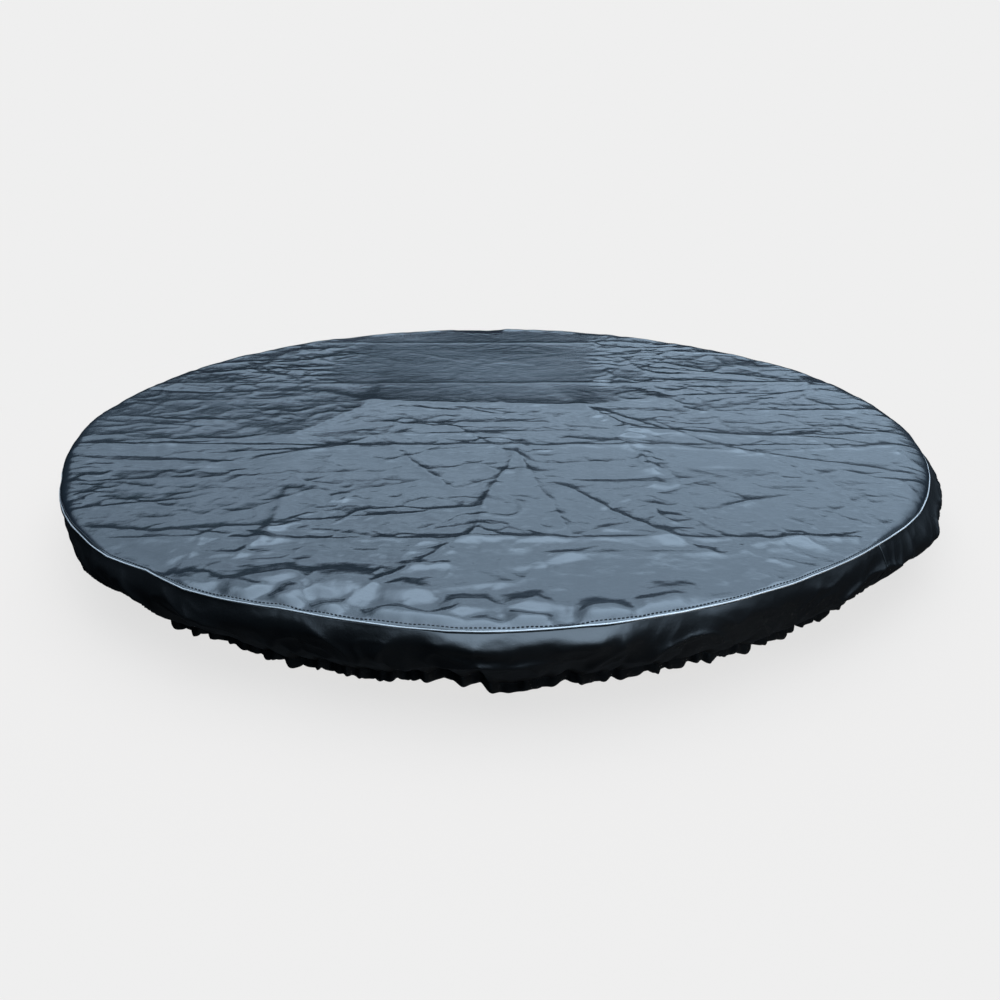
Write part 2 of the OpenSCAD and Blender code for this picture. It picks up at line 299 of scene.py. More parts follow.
def random_creases(count, seed):
    """Small creases all over, many of them nearly along or across the packaging folds."""
    rng = np.random.RandomState(seed)
    made = []
    for _ in range(count):
        angle, radius = rng.uniform(0, 2 * math.pi), math.sqrt(rng.uniform(0, 0.95))
        start = np.array([radius * math.cos(angle), radius * math.sin(angle)])
        heading = rng.choice([rng.normal(0, 0.25), rng.uniform(0, math.pi)])
        length = rng.uniform(0.06, 0.38)
        end = start + length * np.array([math.cos(heading), math.sin(heading)])
        made.append((start, end, rng.choice([-1, 1], p=[0.3, 0.7]) * rng.uniform(0.0005, 0.0024)))
    return made


def crumple(x, y):
    """Height of the creased cloth above its mean plane, for places given as shares of the radius."""
    bend_x = x + 0.012 * bumps(6 * x, 6 * y, 1.5) + 0.003 * bumps(23 * x, 23 * y, 2.5)
    bend_y = y + 0.012 * bumps(6 * x, 6 * y, 4.5) + 0.003 * bumps(23 * x, 23 * y, 3.5)
    taut = smooth(0.09, 0.17, y) * (1 - smooth(0.32, 0.50, np.abs(x + 0.06)))
    height = 0.0022 * (1 - 0.5 * taut) * bumps.layered(1.7 * x, 1.7 * y, 0.3, 2)
    for place, size in PACKAGING_FOLDS:
        strength = 0.85 + 0.4 * folds(3 * x, 9 * place, 0.7)
        height = height + strength * crease(x, y + 0.3 * (bend_y - y), (-1, place), (1, place), size)
    made = 0.0
    for start, end, size in random_creases(150, 5):
        made = made + crease(bend_x, bend_y, start, end, size)
    height = height + (1 - 0.85 * taut) * made
    for start, end, size in CREASES:
        height = height + crease(bend_x, bend_y, start, end, size)
    for start, end, size in BENDS:
        height = height + crease(x, y, start, end, size, near=0.14, far=0.14)
    for (at_x, at_y), radius, size in PILLOWS:
        away = ((bend_x - at_x) ** 2 + (1.3 * (bend_y - at_y)) ** 2) / radius ** 2
        height = height + size * np.exp(-away)
    patchy = smooth(-0.5, 0.7, bumps(2.6 * x, 2.6 * y, 9.5)) * (1 - taut)
    loose = 1 - 0.8 * taut
    drawn = 1 - np.abs(folds(1.6 * bend_x + 1.5 * bend_y, 8.0 * bend_y - 1.2 * bend_x, 22.5))
    height = height + 0.0028 * loose * (0.3 + np.abs(x)) * (0.3 + 0.7 * patchy) * (drawn ** 5 - 0.25)
    knots = sum(near_line(x, y, start, end, 0.03) for start, end in KNOTS)
    for scale, size, sharp, at in ((3.6, 0.0026, 7, 2.5), (8.5, 0.0020, 7, 8.5), (19, 0.0012, 5, 12.5)):
        lines = 1 - np.abs(folds(scale * bend_x, scale * bend_y, at))
        height = height + size * loose * (0.45 + 0.55 * patchy) * (lines ** sharp - 0.25)
    tangle = 1 - np.abs(folds(17 * bend_x, 24 * bend_y, 31.5))
    height = height + 0.0034 * knots * (tangle ** 3 - 0.3)
    height = height + 0.0006 * loose * (0.5 + patchy) * bumps.layered(24 * x, 24 * y, 5.5, 2) - 0.002
    return height


TALLEST = 0.011  # no crease stands further than this from the mean plane


def puckers(theta, inward):
    """Small gathers that run in from the seam, strongest across the front."""
    away = np.abs(turn_from_front(theta) + 0.15)
    strength = 0.35 + 0.65 * (1 - smooth(0.25, 0.9, away))
    wave = round_noise(theta, 14, 8 * inward)
    fine = round_noise(theta, 34, 12 * inward)
    rise = smooth(0.0, 0.015, inward) * np.exp(-inward / 0.04)
    reach = 0.040 + 0.035 * round_noise(theta, 11, 40.5)
    pillow = smooth(0.002, 0.024, inward) * (1 - smooth(0.75, 1.25, inward / np.maximum(reach, 0.022)))
    front = 1 - smooth(0.22, 0.55, np.abs(turn_from_front(theta) + 0.10))
    lifted = 0.0110 * front * pillow * smooth(-0.6, 0.3, wave)
    return strength * rise * (0.0070 * wave + 0.0030 * fine) + lifted


def puff(theta):
    """From 0 to 1: where the cloth stands up behind the seam and slopes down to it."""
    wave = round_noise(theta, 9, 33.5)
    fine = round_noise(theta, 23, 34.5)
    return smooth(-0.6, 0.8, wave + 0.35 * fine)


def top_points(theta, inward):
    """Points of the top cloth at a direction and a distance along the cloth from the seam."""
    drop = seam_drop(theta)
    edge = seam_radius(theta)
    turn = np.degrees(turn_from_front(theta))
    rolled = smooth(30, 46, turn) * (1 - smooth(95, 120, turn))
    slope = 0.75 * puff(theta) * (1 - 0.85 * rolled)
    fall = slope * np.minimum(drop, 0.010)
    width = 0.018 + 0.055 * puff(theta) ** 1.5
    step = drop - fall
    roll = 0.003 + (1.3 + 1.1 * rolled) * step
    arc = 0.5 * math.pi * np.sqrt((roll ** 2 + step ** 2) / 2)
    phi = 0.5 * math.pi * np.clip(1 - inward / arc, 0, 1)
    radius = np.where(inward < arc, edge - roll + roll * np.sin(phi), edge - roll - (inward - arc))
    radius = np.maximum(radius, 0)
    away = np.clip(1 - inward / width, 0, 1)
    height = TOP_Z - step * (1 - np.cos(phi)) - fall * away ** 1.3
    x, y = radius * np.cos(theta), radius * np.sin(theta)
    calm = smooth(0.0, 0.04, inward)
    rise = calm * crumple(x / COVER_R, y / COVER_R) + puckers(theta, inward)
    height = height + TALLEST * np.tanh(rise / TALLEST)
    groove = np.exp(-(((inward - STITCH_IN) / 0.0022) ** 2))
    height = height - 0.0007 * groove
    return np.stack([x, y, height], -1)


TOP_COLUMNS = 1536  # points round the edge of the top
TOP_SPACING = 0.0042  # distance between rings of points


def build_top():
    """One disc of cloth, with fewer columns towards the middle, so that its faces stay even."""
    edge = [0.0, 0.0015, 0.003, 0.0045, 0.006, 0.0075, 0.009, 0.011, 0.0135, 0.0165, 0.020, 0.024, 0.028]
    inward = np.array(edge + list(np.arange(0.032, SEAM_R - 0.004, TOP_SPACING)))
    rings, faces, start, columns = [], [], 0, TOP_COLUMNS
    for s in inward:
        if columns > 12 and 2 * math.pi * (SEAM_R - s) / columns < 0.5 * TOP_SPACING:
            columns //= 2
        if rings:
            faces.extend(joined_rings(*rings[-1], start, columns))
        rings.append((start, columns))
        start += columns
    theta = np.concatenate([full_turn(count) for _, count in rings])
    points = top_points(theta, np.repeat(inward, [count for _, count in rings]))
    last = rings[-1][0]
    points = np.concatenate([points, [points[last:].mean(0)]])
    faces.extend((last + i, last + (i + 1) % columns, start) for i in range(columns))
    top = make_mesh("top_cloth", points, faces)
    thicken(top, CLOTH_T)
    return top


def joined_rings(outer, outer_count, inner, inner_count):
    """Faces between two rings, where the inner ring has as many points or half as many."""
    made = []
    if outer_count == inner_count:
        for i in range(outer_count):
            j = (i + 1) % outer_count
            made.append((outer + i, outer + j, inner + j, inner + i))
        return made
    for i in range(inner_count):
        a, b = outer + 2 * i, outer + 2 * i + 1
        c = outer + (2 * i + 2) % outer_count
        p, q = inner + i, inner + (i + 1) % inner_count
        made += [(a, b, p), (b, q, p), (b, c, q)]
    return made


# ---------------------------------------------------------------- shape of the rim and skirt

def tube(name, centres, radius, sides=10):
    """A closed tube round a closed ring of centres."""
    count = len(centres)
    ahead = unit(np.roll(centres, -1, 0) - np.roll(centres, 1, 0))
    side = unit(np.cross(ahead, [0.0, 0.0, 1.0]))
    up = np.cross(side, ahead)
    rows = [centres + radius * (math.cos(a) * side + math.sin(a) * up) for a in full_turn(sides)]
    points = np.concatenate(rows)
    faces = grid_faces(sides, count)
    closing = grid_faces(2, count)
    closing = np.where(closing >= count, closing - count, closing + (sides - 1) * count)
    return make_mesh(name, points, np.concatenate([faces, closing]))


def build_piping():
    """Piping cord in its cloth sleeve, drawn in a little at each stitch."""
    theta = full_turn(2304)
    radius = seam_radius(theta) + 0.0006
    height = TOP_Z - seam_drop(theta)
    centres = polar(theta, radius, height)
    uneven = 1 + 0.10 * round_noise(theta, 90, 2.5)
    return tube("piping", centres, (PIPING_R * uneven)[:, None])


def hem_height(theta):
    """Height of the gathered hem's lower edge: round lumps with sharp notches, some down on the floor."""
    wave = 0.28 + 0.35 * round_noise(theta, 6, 11.5) + 0.25 * round_noise(theta, 15, 12.5)
    lump = np.exp(-((turn_from_front(theta) - 0.02) / 0.035) ** 2)
    notch = (1 - np.abs(round_noise(theta, 21, 13.5))) ** 3
    notch = notch + 0.4 * (1 - np.abs(round_noise(theta, 44, 14.5))) ** 3
    return np.maximum((0.022 * np.clip(wave, 0, 1.1) + 0.0085 * notch) * (1 - lump), 0.0004)


def full_sides(theta):
    """From 0 to 1: where the skirt hangs fullest, either side of the front."""
    return smooth(36, 60, np.abs(np.degrees(turn_from_front(theta))))


def drawn_in(theta):
    """From 0 to 1: where the elastic pulls the hem in under the cover, at the left."""
    turn = np.degrees(turn_from_front(theta))
    return smooth(40, 64, -turn) * (1 - smooth(90, 112, -turn))


def hem_radius(theta):
    """Radius of the hem, which the elastic pulls in unevenly."""
    mean = HEM_R + 0.018 + 0.012 * full_sides(theta) - 0.060 * drawn_in(theta)
    return mean + 0.009 * round_noise(theta, 6, 14.5) + 0.005 * round_noise(theta, 21, 15.5)


def gathers(theta, pitch, noise_at):
    """Even but wandering gathers round the hem, from -1 to 1."""
    count = round(2 * math.pi * HEM_R / pitch)
    wander = 4.2 * round_noise(theta, count / 14, noise_at)
    strength = 1 + 0.8 * round_noise(theta, count / 20, noise_at + 9)
    return strength * np.sin(count * theta + wander)


# Swags of cloth that hang out just under the seam: turn from the front and half width, both in degrees,
# and size in metres
SWAGS = [(-1.5, 6.0, 0.017), (8.5, 5.0, 0.012), (-17, 7, 0.005),
         (21, 6, 0.006), (-38, 9, 0.005), (38, 8, 0.005)]
BULGE = 0.022  # how far the skirt stands outside a straight line from seam to hem


def swag(turn):
    """How far the cloth hangs out just under the seam."""
    total = 0.0
    for at, half, size in SWAGS:
        total = total + size * np.exp(-(((np.degrees(turn) - at) / half) ** 2) * 1.4)
    return total


def skirt_points(theta, v):
    """Points of the skirt at a direction and a share of the way down from the seam to the casing."""
    turn = turn_from_front(theta)
    lean = theta + 0.13 * v * np.sin(turn)
    top_r, low_r = seam_radius(theta) - 0.0006, hem_radius(theta)
    top_z = TOP_Z - seam_drop(theta) - 0.0012
    low_z = hem_height(theta) + 0.9 * HEM_H
    bulge = BULGE * (1 + 0.8 * full_sides(theta) - 0.3 * drawn_in(theta))
    radius = top_r + (low_r - top_r) * v + bulge * np.sin(math.pi * v)
    height = top_z + (low_z - top_z) * v
    belly = np.sin(math.pi * np.clip(v, 0, 1)) ** 1.5
    broad = round_noise(lean, 4.2, 1.6 * v + 20)
    middle = round_noise(lean, 12, 2.2 * v + 30)
    pull = round_noise(lean, 7.5, 1.4 * v + 40)
    sharp = (1 - np.abs(pull)) ** 5
    small = (1 - np.abs(round_noise(lean, 17, 2.6 * v + 45))) ** 4
    out = belly * (0.004 + 0.008 * broad + 0.005 * middle + 0.009 * sharp + 0.004 * small)
    near_hem = smooth(0.35, 1.0, v)
    out = out + near_hem * 0.0055 * gathers(lean, 0.055, 50 + v) * (1 - 0.4 * near_hem)
    out = out + smooth(0.70, 1.0, v) * 0.0020 * gathers(lean, 0.027, 55 + v)
    loose = np.sin(0.5 * math.pi * np.clip(v / 0.16, 0, 1))
    hang = np.where(v < 0.16, loose, np.exp(-(((v - 0.16) / 0.17) ** 2)))
    uneven = 1 + 0.35 * round_noise(theta, 20, 5 * v + 60)
    out = out + hang * uneven * swag(turn)
    sag = -0.004 * belly * broad
    radius = radius + out
    return polar(theta, radius, height + sag)


def skirt_radius(theta, height, band=0.004):
    """The skirt's smallest radius near a direction and within a few millimetres of a height."""
    vv, tt = np.meshgrid(np.linspace(0, 1, 180), theta, indexing="ij")
    points = skirt_points(tt, vv)
    radius = np.hypot(points[..., 0], points[..., 1])
    near = np.abs(points[..., 2] - height) < band
    least = np.where(near.any(0), np.where(near, radius, np.inf).min(0), radius[-1])
    return np.minimum(least, np.minimum(np.roll(least, 1), np.roll(least, -1)))


SKIRT_NODES = ["skirt_right", "skirt_back", "skirt_left", "skirt_front"]
SKIRT_COLUMNS = 420  # for each length
SKIRT_ROWS = 46
JOINTS = [-math.pi / 4 + k * math.pi / 2 for k in range(4)]  # where one length meets the next
LAP = 0.008  # each length starts this far before its joint, over the end of the last one


def build_skirt():
    """Four lengths of gathered cloth, each lapped over the next at a felled joint."""
    made = []
    v = np.linspace(0, 1, SKIRT_ROWS)
    half_lap = LAP / SEAM_R
    for node, joint in zip(SKIRT_NODES, JOINTS):
        theta = np.linspace(joint - half_lap, joint + math.pi / 2 + half_lap, SKIRT_COLUMNS)
        vv, tt = np.meshgrid(v, theta, indexing="ij")
        points = skirt_points(tt, vv)
        lapped = 1 - smooth(joint + half_lap, joint + 2 * half_lap, tt)
        lapped = lapped * smooth(0, 0.06, vv) * (1 - smooth(0.94, 1.0, vv))
        points = points + 0.0012 * lapped[..., None] * outward(tt)
        faces = grid_faces(SKIRT_ROWS, SKIRT_COLUMNS, wrap=False)
        piece = make_mesh(node + "_cloth", points.reshape(-1, 3), faces[:, ::-1])
        thicken(piece, 0.001)
        made.append(piece)
    return made


def build_joint_tapes():
    """Narrow tapes felled over the inside of the skirt's joints."""
    rows, columns = 40, 7
    points, faces = [], []
    v = np.linspace(0.05, 0.93, rows)
    for k, joint in enumerate(JOINTS):
        theta = joint + np.linspace(-0.008, 0.008, columns) / SEAM_R
        vv, tt = np.meshgrid(v, theta, indexing="ij")
        points.append((skirt_points(tt, vv) - 0.0022 * outward(tt)).reshape(-1, 3))
        faces.append(grid_faces(rows, columns, wrap=False, start=k * rows * columns))
    tapes = make_mesh("joint_tapes", np.concatenate(points), np.concatenate(faces))
    thicken(tapes, 0.0006)
    return tapes


def build_elastic():
    """Flat elastic inside the casing."""
    theta = full_turn(1440)
    edge = skirt_points(theta, np.ones_like(theta))
    middle = np.hypot(edge[:, 0], edge[:, 1]) - 0.0036
    low = hem_height(theta) + 0.004
    rows = [polar(theta, middle, low + 0.015 * k) for k in np.linspace(0, 1, 6)]
    band = make_mesh("elastic_band", np.concatenate(rows), grid_faces(len(rows), len(theta)))
    thicken(band, 0.0016)
    return band


# The casing's fold, as (distance out from the skirt in metres, share of the casing's height)
HEM_FOLD = [(-0.0016, 1.08), (-0.0011, 0.97), (-0.0004, 0.82), (0.0004, 0.55), (0.0002, 0.25),
            (-0.0012, 0.06), (-0.0040, 0.0), (-0.0066, 0.06), (-0.0078, 0.25), (-0.0080, 0.50),
            (-0.0076, 0.75), (-0.0062, 1.00)]


def build_hem():
    """The casing: cloth folded round the elastic and scrunched up by it."""
    columns = 2880
    theta = full_turn(columns)
    edge = skirt_points(theta, np.ones(columns))
    start_r, start_z = np.hypot(edge[:, 0], edge[:, 1]), edge[:, 2]
    lean = theta + 0.13 * np.sin(turn_from_front(theta))
    fine = 0.0009 * gathers(lean, 0.022, 70)
    low_z = hem_height(theta)
    rows = []
    for out, up in HEM_FOLD:
        radius = start_r + out + fine * (1 if out > 0 else 0.5) * (1.15 - up)
        rows.append(polar(theta, radius, np.maximum(low_z + (start_z - low_z) * up, 0.0003)))
    hem = make_mesh("hem_casing_cloth", np.concatenate(rows), grid_faces(len(HEM_FOLD), columns)[:, ::-1])
    thicken(hem, 0.0008)
    return hem


def build_stitches(name, places, length, thickness):
    """Short rounded thread stitches, given as rows of (middle, direction)."""
    sides, rings = 6, [(-0.5, 0.35), (-0.38, 0.9), (0.0, 1.0), (0.38, 0.9), (0.5, 0.35)]
    middle, ahead = places
    count = len(middle)
    side = unit(np.cross(ahead, [0.0, 0.0, 1.0]))
    up = np.cross(side, ahead)
    rows = []
    for along, wide in rings:
        arch = 1 - (2 * along) ** 2
        for k in range(sides):
            a = 2 * math.pi * k / sides
            offset = thickness / 2 * wide * (math.cos(a) * side + math.sin(a) * up)
            rows.append(middle + along * length * ahead + offset + 0.35 * thickness * arch * up)
    points = np.stack(rows, 1).reshape(-1, 3)
    one = [tuple(f) for f in grid_faces(len(rings), sides)]
    caps = [tuple(range(sides))[::-1], tuple((len(rings) - 1) * sides + k for k in range(sides))]
    per = len(rings) * sides
    faces = [tuple(c + i * per for c in f) for i in range(count) for f in one + caps]
    return make_mesh(name, points, faces)


def build_topstitch():
    """One row of thread round the top, just inside the seam."""
    count = round(2 * math.pi * SEAM_R / STITCH_PITCH)
    theta = full_turn(count)
    at = np.full(count, STITCH_IN)
    step = 0.3 * STITCH_PITCH / SEAM_R
    before, after = top_points(theta - step, at), top_points(theta + step, at)
    middle = top_points(theta, at) + [0, 0, 0.0004]
    return build_stitches("topstitch_thread", (middle, unit(after - before)), 0.0044, 0.0013)


# ---------------------------------------------------------------- underside

ZIP_FROM, ZIP_SWEEP = math.radians(-4), math.radians(160)  # where the slot starts, and its angle
TOOTH_PITCH = 0.003
LINER_GAP = 0.0038  # between the liner's edge and the skirt
VALVE_HOLE_R = 0.0185


def build_teeth(name, inner_r, outer_r, low_z, high_z, shift):
    """One row of moulded teeth on a thin spine, as separate rounded blocks."""
    count = int((ZIP_SWEEP - math.radians(2)) * ZIP_R / TOOTH_PITCH)
    places = ZIP_FROM + math.radians(1) + (np.arange(count) + shift) * TOOTH_PITCH / ZIP_R
    middle_r, middle_z = (inner_r + outer_r) / 2, (low_z + high_z) / 2
    half_r, half_z, half_l = (outer_r - inner_r) / 2, (high_z - low_z) / 2, 0.30 * TOOTH_PITCH
    octagon = [(1, 0.5), (0.5, 1), (-0.5, 1), (-1, 0.5), (-1, -0.5), (-0.5, -1), (0.5, -1), (1, -0.5)]
    slices = [(-1.0, 0.82), (-0.6, 1.0), (0.6, 1.0), (1.0, 0.82)]
    points, per = [], len(slices) * len(octagon)
    for place in places:
        out = np.array([math.cos(place), math.sin(place), 0])
        ahead = np.array([-math.sin(place), math.cos(place), 0])
        for along, wide in slices:
            for r, z in octagon:
                points.append((middle_r + half_r * r * wide) * out + half_l * along * ahead
                              + np.array([0, 0, middle_z + half_z * z * wide]))
    one = [tuple(f) for f in grid_faces(len(slices), len(octagon))]
    one += [tuple(range(8)), tuple(range(per - 1, per - 9, -1))]
    faces = [tuple(c + k * per for c in face) for k in range(count) for face in one]
    return make_mesh(name, points, faces)


def build_zip_stitches():
    """Two rows of thread that hold the zip's tapes under the liner."""
    rows = []
    for radius in (ZIP_R - ZIP_HALF_SLOT - 0.006, ZIP_R + ZIP_HALF_SLOT + 0.006):
        count = int(ZIP_SWEEP * radius / 0.005)
        angle = ZIP_FROM + ZIP_SWEEP * np.arange(count) / count
        middle = radius * outward(angle) + [0, 0, TAPE_LOW - 0.0003]
        rows.append((middle, np.stack([-np.sin(angle), np.cos(angle), 0 * angle], -1)))
    places = tuple(np.concatenate(part) for part in zip(*rows))
    return build_stitches("zip_stitching", places, 0.0034, 0.0009)


def build_valve_patch():
    """Ring of film welded round the valve's hole in the liner, with a raised welded rib."""
    count = 96
    angle, middle = full_turn(count), [VALVE.x, VALVE.y, 0]
    path = [(0.0174, 0.0), (0.0176, -0.0010), (0.0200, -0.0014), (0.0225, -0.0010), (0.0240, -0.0015),
            (0.0255, -0.0010), (0.0330, -0.0009), (0.0345, -0.0006), (0.0350, 0.0004)]
    rows = [polar(angle, r, np.full(count, LINER_LOW - 0.0008 + z)) + middle for r, z in path]
    patch = make_mesh("valve_patch", np.concatenate(rows), grid_faces(len(path), count))
    thicken(patch, 0.0005)
    return patch


def build_liner():
    """Foil-faced sheet across the underside, with a slot for the zip and a hole for the valve."""
    slot_low, slot_high = ZIP_R - ZIP_HALF_SLOT, ZIP_R + ZIP_HALF_SLOT
    columns, pitch = 900, 0.006
    theta = full_turn(columns)
    edge = skirt_radius(theta, np.full(columns, LINER_LOW)) - LINER_GAP
    inner = list(np.arange(5 * pitch, slot_low - 0.003, pitch)) + [slot_low, slot_high]
    rings = [np.full(columns, radius) for radius in inner]
    rings += [slot_high + (edge - slot_high) * k for k in np.linspace(0.1, 1, 10)]
    rr, tt = np.array(rings), np.broadcast_to(theta, (len(rings), columns))
    x, y = rr * np.cos(tt), rr * np.sin(tt)
    near_zip = smooth(0.020, 0.060, np.abs(rr - (slot_low + slot_high) / 2))
    near_valve = smooth(0.035, 0.09, np.hypot(x - VALVE.x, y - VALVE.y))
    calm = np.minimum(near_zip, near_valve)
    lines = 1 - np.abs(folds(5 * x, 5 * y, 70.5))
    finer = 1 - np.abs(folds(13 * x, 13 * y, 75.5))
    slack = 0.0024 * bumps.layered(7 * x, 7 * y, 61, 3) + 0.0034 * lines ** 7 + 0.0018 * finer ** 6 - 0.0008
    slack = slack * smooth(0.03, 0.10, rr)
    z = LINER_LOW - calm * slack
    turned = [(skirt_radius(theta, z[-1] - down) - LINER_GAP, z[-1] - down) for down in (0.003, 0.006)]
    points = [np.stack([x, y, z], -1).reshape(-1, 3)]
    points = np.concatenate(points + [polar(theta, radius, height) for radius, height in turned])
    faces = grid_faces(len(rings) + len(turned), columns)
    ring, along = faces[:, 0] // columns, theta[faces[:, 0] % columns] + math.pi / columns - ZIP_FROM
    in_slot = (ring == inner.index(slot_low)) & (along % (2 * math.pi) < ZIP_SWEEP)
    middle = points[faces].mean(1)
    hole = np.hypot(middle[:, 0] - VALVE.x, middle[:, 1] - VALVE.y) < VALVE_HOLE_R
    faces = faces[~(in_slot | hole)]
    centre = len(points)
    points = np.concatenate([points, [[0, 0, z[0].mean()]]])
    fan = [(i, (i + 1) % columns, centre) for i in range(columns)]
    liner = make_mesh("foil_liner", points, [tuple(f) for f in faces[:, ::-1]] + fan)
    thicken(liner, 0.001)
    return liner


BLADDER_TOP, BLADDER_LOW = TOP_Z - 0.017, LINER_HIGH + 0.0085  # its films where a strip holds them


def bladder_height(x, y, top):
    """Height of one film of the bladder, drawn in along each upright strip."""
    place = y if BEAMS_ALONG_X else x
    dip = sum(np.exp(-np.abs(place - at) / 0.022) for at in BEAM_PLACES)
    swell = 0.006 * (1 - np.minimum(dip, 1))
    return BLADDER_TOP + swell if top else BLADDER_LOW - 0.8 * swell


def build_bladder():
    """The flat air bladder as one inflated form, welded round its side."""
    columns = 288
    theta = full_turn(columns)
    flat_r, side_r = 0.805, 0.842
    radii = np.concatenate([np.arange(0.01, flat_r, 0.012), [flat_r]])
    rr, tt = np.meshgrid(radii, theta, indexing="ij")
    x, y = rr * np.cos(tt), rr * np.sin(tt)
    low = np.stack([x, y, bladder_height(x, y, False)], -1)
    high = np.stack([x, y, bladder_height(x, y, True)], -1)
    side = []
    for phi in np.linspace(-math.pi / 2, math.pi / 2, 15)[1:-1]:
        radius = flat_r + (side_r - flat_r) * math.cos(phi) ** 0.8
        share = 0.5 + 0.5 * math.sin(phi)
        height = low[-1, :, 2] + (high[-1, :, 2] - low[-1, :, 2]) * share
        side.append(radius * outward(theta) + height[:, None] * [[0, 0, 1]])
    rows = np.concatenate([low, np.array(side), high[::-1]])
    points = rows.reshape(-1, 3)
    faces = [tuple(f) for f in grid_faces(len(rows), columns)]
    ends = [(0, low[0]), ((len(rows) - 1) * columns, high[0])]
    for index, (start, ring) in enumerate(ends):
        centre = len(points)
        points = np.concatenate([points, [ring.mean(0)]])
        for i in range(columns):
            j = (i + 1) % columns
            faces.append((start + j, start + i, centre) if index == 0 else (start + i, start + j, centre))
    return make_mesh("air_bladder", points, faces)


def build_beams():
    """The upright strips inside the bladder, one piece for each."""
    made = []
    for index, place in enumerate(BEAM_PLACES):
        half = math.sqrt(0.79 ** 2 - place ** 2)
        along = np.linspace(-half, half, 120)
        across = np.full(along.shape, place)
        x, y = (along, across) if BEAMS_ALONG_X else (across, along)
        low, high = bladder_height(x, y, False) + 0.0004, bladder_height(x, y, True) - 0.0004
        rows = [np.stack([x, y, low + (high - low) * k], -1) for k in np.linspace(0, 1, 9)]
        beam = make_mesh(f"beam_web_{index + 1}", np.concatenate(rows), grid_faces(9, 120, wrap=False))
        thicken(beam, 0.0005, offset=0)
        made.append(beam)
    return made


# ---------------------------------------------------------------- materials

def new_material(name):
    """A node material, with what is needed to build on it."""
    material = bpy.data.materials.new(name)
    material.use_nodes = True
    nodes, links = material.node_tree.nodes, material.node_tree.links
    return material, nodes, links, nodes["Principled BSDF"]


def add(nodes, kind, **values):
    """A shader node with its input sockets and properties set by name."""
    node = nodes.new(kind)
    for key, value in values.items():
        if key in node.inputs:
            node.inputs[key].default_value = value
        else:
            setattr(node, key, value)
    return node


def object_noise(nodes, links, scale, detail=3.0, roughness=0.5):
    """Noise fixed to the piece."""
    place = add(nodes, "ShaderNodeTexCoord")
    noise = add(nodes, "ShaderNodeTexNoise", Scale=scale, Detail=detail, Roughness=roughness)
    links.new(place.outputs["Object"], noise.inputs["Vector"])
    return noise


def ramp(nodes, links, source, stops):
    """A colour ramp from a list of (place, colour)."""
    node = add(nodes, "ShaderNodeValToRGB")
    elements = node.color_ramp.elements
    while len(elements) < len(stops):
        elements.new(0.5)
    for element, (place, colour) in zip(elements, stops):
        element.position = place
        element.color = (*colour, 1)
    links.new(source, node.inputs["Fac"])
    return node


def span(nodes, links, source, low, high, from_low=0.3, from_high=0.7):
    """Maps a value that runs from about 0.3 to 0.7 to another range."""
    node = add(nodes, "ShaderNodeMapRange")
    node.inputs["From Min"].default_value = from_low
    node.inputs["From Max"].default_value = from_high
    node.inputs["To Min"].default_value = low
    node.inputs["To Max"].default_value = high
    links.new(source, node.inputs["Value"])
    return node


def add_bump(nodes, links, height, strength, distance, below=None):
    """A bump, on top of another one if below is given."""
    node = add(nodes, "ShaderNodeBump", Strength=strength, Distance=distance)
    links.new(height, node.inputs["Height"])
    if below is not None:
        links.new(below.outputs["Normal"], node.inputs["Normal"])
    return node


def vary(nodes, links, shader, noise, stops, low, high):
    """Colour between two stops and roughness between two values, both following a noise."""
    colour = ramp(nodes, links, noise.outputs["Fac"], stops)
    links.new(colour.outputs["Color"], shader.inputs["Base Color"])
    rough_map = span(nodes, links, noise.outputs["Fac"], low, high)
    links.new(rough_map.outputs["Result"], shader.inputs["Roughness"])


def leatherette(name, dark, light, rough, grain=1.0):
    """Coated cloth with a fine pressed grain, soft creases too small for the mesh, and cloudy sheen."""
    material, nodes, links, shader = new_material(name)
    cloud = object_noise(nodes, links, 3.2, 4.0, 0.55)
    fine = object_noise(nodes, links, 46.0, 5.0, 0.6)
    vary(nodes, links, shader, cloud, [(0.3, dark), (0.7, light)], rough - 0.05, rough + 0.06)
    place = add(nodes, "ShaderNodeTexCoord")
    pores = add(nodes, "ShaderNodeTexVoronoi", Scale=620.0, feature="F1")
    links.new(place.outputs["Object"], pores.inputs["Vector"])
    soft = add_bump(nodes, links, fine.outputs["Fac"], 0.4, 0.0022)
    pressed = add_bump(nodes, links, pores.outputs["Distance"], 0.12 * grain, 0.0004, soft)
    links.new(pressed.outputs["Normal"], shader.inputs["Normal"])
    return material


def foil(name):
    """Aluminium film over thin foam, scuffed and finely wrinkled."""
    material, nodes, links, shader = new_material(name)
    cloud = object_noise(nodes, links, 9.0, 5.0, 0.6)
    stops = [(0.3, (0.50, 0.51, 0.52)), (0.7, (0.70, 0.71, 0.72))]
    vary(nodes, links, shader, cloud, stops, 0.32, 0.48)
    shader.inputs["Metallic"].default_value = 0.45
    fine = object_noise(nodes, links, 70.0, 6.0, 0.65)
    wrinkled = add_bump(nodes, links, fine.outputs["Fac"], 0.6, 0.002)
    links.new(wrinkled.outputs["Normal"], shader.inputs["Normal"])
    return material


WEAVE_SCALE = 70.0


